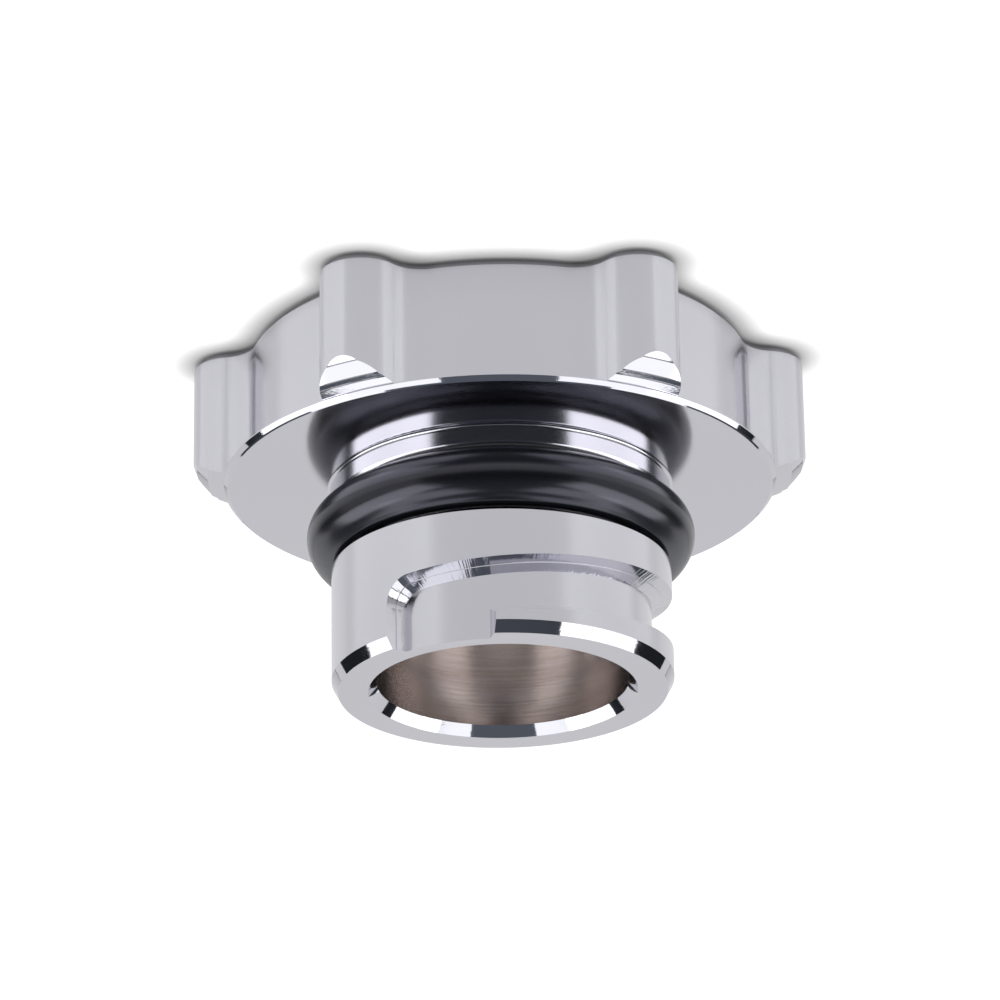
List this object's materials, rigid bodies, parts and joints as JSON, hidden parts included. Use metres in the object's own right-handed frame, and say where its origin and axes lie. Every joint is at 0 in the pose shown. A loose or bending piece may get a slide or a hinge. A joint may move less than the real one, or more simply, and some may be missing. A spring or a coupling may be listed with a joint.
{
  "type": "oil filler cap",
  "caption": "Oil filler cap: lobed twist knob, flange, sealing ring in a groove, and a hollow barrel with a tapered helical bayonet slot.",
  "frame": {"origin": "middle of the knob's flat top face, on which the cap stands upside down", "axes": "+Z along the cap's axis from the knob to the open end of the barrel; -Y is the front, midway between two lobes; the mouth of the slot is a little to the right of the front as it stands"},
  "size_m": [0.069, 0.0622, 0.0399],
  "materials": {
    "satin_aluminium": "clear-finished turned and milled aluminium, bright on the machined faces and satin on the knob's walls",
    "black_rubber": "smooth black rubber"
  },
  "bodies": {
    "root": {"cap_body": "satin_aluminium", "o_ring": "black_rubber"}
  },
  "joints": []
}
